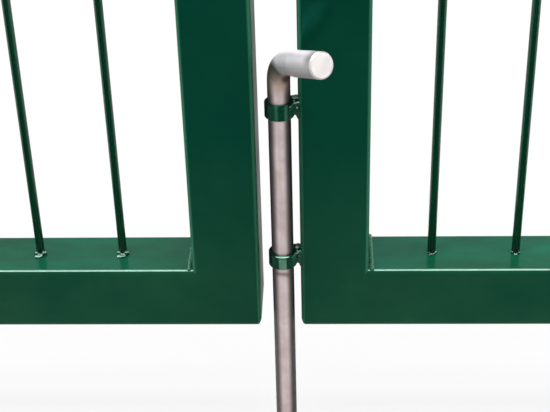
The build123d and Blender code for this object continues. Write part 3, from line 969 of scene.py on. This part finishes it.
def build_hinge_fittings():
    """Chamfered nuts in place of the plain hexagons, and the threads of each eyebolt."""
    for side in SIDES:
        body = f"{side}_leaf"
        inward = 1 if side == "left" else -1
        stile_low, stile_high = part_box(f"{side}_hinge_stile")
        for level in LEVELS:
            node = f"{side}_{level}_eyebolt_nuts"
            low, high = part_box(node)
            eye_low, eye_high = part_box(f"{side}_{level}_eyebolt")
            middle_z = (low.z + high.z) / 2
            across = high.y - low.y
            near, far = (stile_low.x, stile_high.x) if inward > 0 else (stile_high.x, stile_low.x)
            near_end, far_end = (low.x, high.x) if inward > 0 else (high.x, low.x)
            shank_end = eye_high.x if inward > 0 else eye_low.x
            eye_side = eye_low.x + EYE_OUTER if inward > 0 else eye_high.x - EYE_OUTER
            mesh = bmesh.new()
            add_nut(mesh, (near, 0, middle_z), -inward, abs(near_end - near), across)
            add_nut(mesh, (far, 0, middle_z), inward, abs(far_end - far), across)
            nuts = finish_piece(f"{side}_{level}_nuts", mesh, zinc, body)
            keep_crisp(nuts, NUT_CRISP_ANGLE)
            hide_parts(node)
            thread = bmesh.new()
            tip = shank_end - inward * BARE_TIP
            add_thread(thread, (eye_side, 0, middle_z), (near_end, 0, middle_z))
            add_thread(thread, (far_end, 0, middle_z), (tip, 0, middle_z))
            finish_piece(f"{side}_{level}_threads", thread, zinc, body)


def keep_crisp(piece, degrees):
    """Keeps edges sharper than an angle crisp, and smooths the rest."""
    mesh = bmesh.new()
    mesh.from_mesh(piece.data)
    for edge in mesh.edges:
        if len(edge.link_faces) == 2 and edge.calc_face_angle(0) > math.radians(degrees):
            edge.smooth = False
    mesh.to_mesh(piece.data)
    mesh.free()


build_foot_welds()
build_pintle_welds()
build_hinge_fittings()


# Lock


def add_screw(mesh, centre, out, side, radius, height, socket):
    """Adds a low domed screw head with a six-sided socket; out is its outward direction."""
    centre, out, side = Vector(centre), Vector(out).normalized(), Vector(side).normalized()
    other = out.cross(side)
    segments = 36
    rows = []
    profile = [
        (radius, -0.2 * MM, False),
        (radius, height * 0.30, False),
        (radius * 0.92, height * 0.66, False),
        (radius * 0.76, height * 0.90, False),
        (socket * 1.22, height, False),
        (socket, height * 0.97, True),
        (socket * 0.97, height * 0.12, True),
    ]
    for reach, rise, six in profile:
        row = []
        for index in range(segments):
            angle = 2 * math.pi * index / segments
            if six:
                around = angle % (math.pi / 3) - math.pi / 6
                span = reach * math.cos(math.pi / 6) / math.cos(around)
            else:
                span = reach
            spot = centre + out * rise + (side * math.cos(angle) + other * math.sin(angle)) * span
            row.append(mesh.verts.new(spot))
        rows.append(row)
    join_rings(mesh, rows)
    close_ends(mesh, rows)


# Each kind of screw: its head's radius and height, and its socket's half-width
ESCUTCHEON_SCREW = (4.6 * MM, 1.7 * MM, 2.0 * MM)
FACEPLATE_SCREW = (4.0 * MM, 0.5 * MM, 1.7 * MM)
KEEP_SCREW = (5.2 * MM, 2.2 * MM, 2.3 * MM)
# How far the screws are from the ends of what they hold
ESCUTCHEON_SCREW_INSET = 14 * MM
FACEPLATE_SCREW_INSET = 12 * MM
KEEP_SCREW_INSET = 22 * MM
# As in the solids: the keep's wall, and the radius of the cylinder's round part
KEEP_WALL = 2.5 * MM
BARREL_RADIUS = 8.5 * MM


def build_lock_trim():
    """Screws in the lock's plates and the keep, and the cylinder's plug and keyway."""
    escutcheon_screws = bmesh.new()
    for name, outward in (("garden_escutcheon", -1), ("street_escutcheon", 1)):
        low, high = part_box(name)
        face = low.y if outward < 0 else high.y
        middle = (low.x + high.x) / 2
        for z in (low.z + ESCUTCHEON_SCREW_INSET, high.z - ESCUTCHEON_SCREW_INSET):
            spot = (middle, face, z)
            add_screw(escutcheon_screws, spot, (0, outward, 0), (1, 0, 0), *ESCUTCHEON_SCREW)
    finish_trim(escutcheon_screws, "escutcheon_screws", steel, "left_leaf")
    low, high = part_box("lock_faceplate")
    faceplate_screws = bmesh.new()
    middle_y = (low.y + high.y) / 2
    for z in (low.z + FACEPLATE_SCREW_INSET, high.z - FACEPLATE_SCREW_INSET):
        add_screw(faceplate_screws, (high.x, middle_y, z), (1, 0, 0), (0, 1, 0), *FACEPLATE_SCREW)
    finish_trim(faceplate_screws, "faceplate_screws", steel, "left_leaf")
    low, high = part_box("lock_keep")
    keep_screws = bmesh.new()
    for z in (low.z + KEEP_SCREW_INSET, high.z - KEEP_SCREW_INSET):
        spot = (high.x - KEEP_WALL, (low.y + high.y) / 2, z)
        add_screw(keep_screws, spot, (-1, 0, 0), (0, 1, 0), *KEEP_SCREW)
    finish_trim(keep_screws, "keep_screws", steel, "right_leaf")
    low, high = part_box("lock_cylinder")
    middle_x = (low.x + high.x) / 2
    barrel_z = high.z - BARREL_RADIUS
    plugs = bmesh.new()
    slots = bmesh.new()
    for face, outward in ((low.y, -1), (high.y, 1)):
        add_plug(plugs, (middle_x, face, barrel_z), outward)
        add_keyway(slots, (middle_x, face + outward * 0.42 * MM, barrel_z), outward)
    finish_trim(plugs, "cylinder_plugs", brass, "left_leaf")
    finish_trim(slots, "cylinder_keyways", dark, "left_leaf")


def finish_trim(mesh, name, material, body):
    """Makes a small trim piece with crisp edges."""
    keep_crisp(finish_piece(name, mesh, material, body), TRIM_CRISP_ANGLE)


# The plug's turned face, as radii and heights in millimetres, from its rim in
PLUG_PROFILE = (
    (6.6, -0.1), (6.6, 0.18), (6.1, 0.30), (5.5, 0.30),
    (5.3, 0.05), (5.1, 0.05), (5.0, 0.40), (4.6, 0.46),
)
PLUG_SEGMENTS = 48
# The keyway's outline, as X and Z in millimetres
KEYWAY_OUTLINE = (
    (-0.55, -3.6), (0.55, -3.6), (0.55, -1.2), (0.95, -0.7), (0.95, 0.9), (0.45, 1.4),
    (0.45, 3.4), (-0.55, 3.4), (-0.55, 1.6), (-0.95, 1.1), (-0.95, -0.4), (-0.55, -0.9),
)


def add_plug(mesh, centre, outward):
    """The round plug that turns with the key: a shallow rim, a groove and a flat face."""
    centre = Vector(centre)
    rows = []
    for reach, rise in PLUG_PROFILE:
        row = []
        for index in range(PLUG_SEGMENTS):
            angle = 2 * math.pi * index / PLUG_SEGMENTS
            spot = Vector((math.cos(angle) * reach, outward * rise, math.sin(angle) * reach)) * MM
            row.append(mesh.verts.new(centre + spot))
        rows.append(row)
    join_rings(mesh, rows)
    close_ends(mesh, rows)


def add_keyway(mesh, centre, outward):
    """The keyway's crooked slot, as a thin inlay in the plug's face that carries the slot's
    painted shade.
    """
    centre = Vector(centre)
    rows = []
    for rise in (-0.3, 0.09):
        spots = [centre + Vector((x, outward * rise, z)) * MM for x, z in KEYWAY_OUTLINE]
        rows.append([mesh.verts.new(spot) for spot in spots])
    join_rings(mesh, rows)
    close_ends(mesh, rows)


build_lock_trim()


# Floor, light and camera


FLOOR_SIZE = 60
FLOOR_GREY = 0.6
FLOOR_SEEN_SHARE = 0.88
WORLD_LIGHT = 0.30


def build_floor():
    """A plain white floor on the ground plane that keeps the gate's soft shadow."""
    place = ((cad_low.x + cad_high.x) / 2, 0, -0.5 * MM)
    bpy.ops.mesh.primitive_plane_add(size=FLOOR_SIZE, location=place)
    floor = bpy.context.object
    floor.name = "studio_floor"
    material = bpy.data.materials.new("floor_white")
    material.use_nodes = True
    tree = material.node_tree
    tree.nodes.clear()
    output = tree.nodes.new("ShaderNodeOutputMaterial")
    mix = tree.nodes.new("ShaderNodeMixShader")
    diffuse = tree.nodes.new("ShaderNodeBsdfDiffuse")
    diffuse.inputs["Color"].default_value = (FLOOR_GREY, FLOOR_GREY, FLOOR_GREY, 1)
    glow = tree.nodes.new("ShaderNodeEmission")
    glow.inputs["Color"].default_value = (1, 1, 1, 1)
    glow.inputs["Strength"].default_value = 1.0
    seen = seen_share(tree, FLOOR_SEEN_SHARE)
    tree.links.new(seen, mix.inputs["Fac"])
    tree.links.new(diffuse.outputs[0], mix.inputs[1])
    tree.links.new(glow.outputs[0], mix.inputs[2])
    tree.links.new(mix.outputs[0], output.inputs["Surface"])
    floor.data.materials.append(material)


def seen_share(tree, share):
    """share where a camera, glossy or transmission ray looks, and 0 elsewhere."""
    path = tree.nodes.new("ShaderNodeLightPath")
    first = tree.nodes.new("ShaderNodeMath")
    first.operation = "MAXIMUM"
    tree.links.new(path.outputs["Is Camera Ray"], first.inputs[0])
    tree.links.new(path.outputs["Is Glossy Ray"], first.inputs[1])
    second = tree.nodes.new("ShaderNodeMath")
    second.operation = "MAXIMUM"
    tree.links.new(first.outputs[0], second.inputs[0])
    tree.links.new(path.outputs["Is Transmission Ray"], second.inputs[1])
    scaled = tree.nodes.new("ShaderNodeMath")
    scaled.operation = "MULTIPLY"
    scaled.inputs[1].default_value = share
    tree.links.new(second.outputs[0], scaled.inputs[0])
    return scaled.outputs[0]


def build_world():
    """White to the eye and in reflections, and a soft even light on the object."""
    world = bpy.data.worlds.new("studio")
    bpy.context.scene.world = world
    world.use_nodes = True
    tree = world.node_tree
    tree.nodes.clear()
    output = tree.nodes.new("ShaderNodeOutputWorld")
    mix = tree.nodes.new("ShaderNodeMixShader")
    light = tree.nodes.new("ShaderNodeBackground")
    light.inputs["Color"].default_value = (0.93, 0.96, 1.0, 1)
    light.inputs["Strength"].default_value = WORLD_LIGHT
    seen = tree.nodes.new("ShaderNodeBackground")
    seen.inputs["Color"].default_value = (1, 1, 1, 1)
    seen.inputs["Strength"].default_value = 1.0
    tree.links.new(seen_share(tree, 1.0), mix.inputs["Fac"])
    tree.links.new(light.outputs[0], mix.inputs[1])
    tree.links.new(seen.outputs[0], mix.inputs[2])
    tree.links.new(mix.outputs[0], output.inputs["Surface"])


def add_softbox(name, location, target, width, height, power):
    """A rectangular area light that faces target."""
    data = bpy.data.lights.new(name, "AREA")
    data.shape = "RECTANGLE"
    data.size = width
    data.size_y = height
    data.energy = power
    lamp = bpy.data.objects.new(name, data)
    lamp.location = location
    way = Vector(target) - Vector(location)
    lamp.rotation_euler = way.to_track_quat("-Z", "Y").to_euler()
    bpy.context.scene.collection.objects.link(lamp)


def build_camera():
    """The camera, placed by a fit of the photograph's straight edges to the frame's."""
    forward = Vector(
        (
            math.sin(CAMERA_YAW) * math.cos(CAMERA_PITCH),
            math.cos(CAMERA_YAW) * math.cos(CAMERA_PITCH),
            -math.sin(CAMERA_PITCH),
        )
    )
    level = Vector((math.cos(CAMERA_YAW), -math.sin(CAMERA_YAW), 0))
    upward = level.cross(forward)
    right = level * math.cos(CAMERA_ROLL) + upward * math.sin(CAMERA_ROLL)
    up = -level * math.sin(CAMERA_ROLL) + upward * math.cos(CAMERA_ROLL)
    data = bpy.data.cameras.new("photo_camera")
    data.sensor_fit = "HORIZONTAL"
    data.sensor_width = SENSOR_WIDTH
    data.lens = FOCAL_PIXELS / PHOTO_WIDTH * SENSOR_WIDTH
    data.clip_start = 0.01
    camera = bpy.data.objects.new("photo_camera", data)
    turn = Matrix((right, up, -forward)).transposed().to_4x4()
    place = Vector((RIGHT_MEETING.x, RIGHT_MEETING.y, LEAF_BOTTOM)) + CAMERA_OFFSET
    camera.matrix_world = Matrix.Translation(place) @ turn
    bpy.context.scene.collection.objects.link(camera)
    bpy.context.scene.camera = camera


build_floor()
build_world()
gate_middle = (cad_low + cad_high) / 2
# Each softbox: its name, its place from the gate's middle, its width and height, and its watts
for box_name, offset, width, height, power in (
    ("overhead_softbox", (0, -0.25, 2.7), 2.8, 1.4, 240),
    ("left_softbox", (-3.6, -2.0, 0.7), 2.2, 2.2, 50),
    ("right_softbox", (3.6, -2.0, 0.7), 2.2, 2.2, 50),
    ("back_left_softbox", (-3.2, 2.6, 0.8), 2.0, 1.6, 35),
    ("back_right_softbox", (3.2, 2.6, 0.8), 2.0, 1.6, 35),
):
    add_softbox(box_name, gate_middle + Vector(offset), gate_middle, width, height, power)
build_camera()

bpy.context.scene.view_settings.view_transform = "Standard"
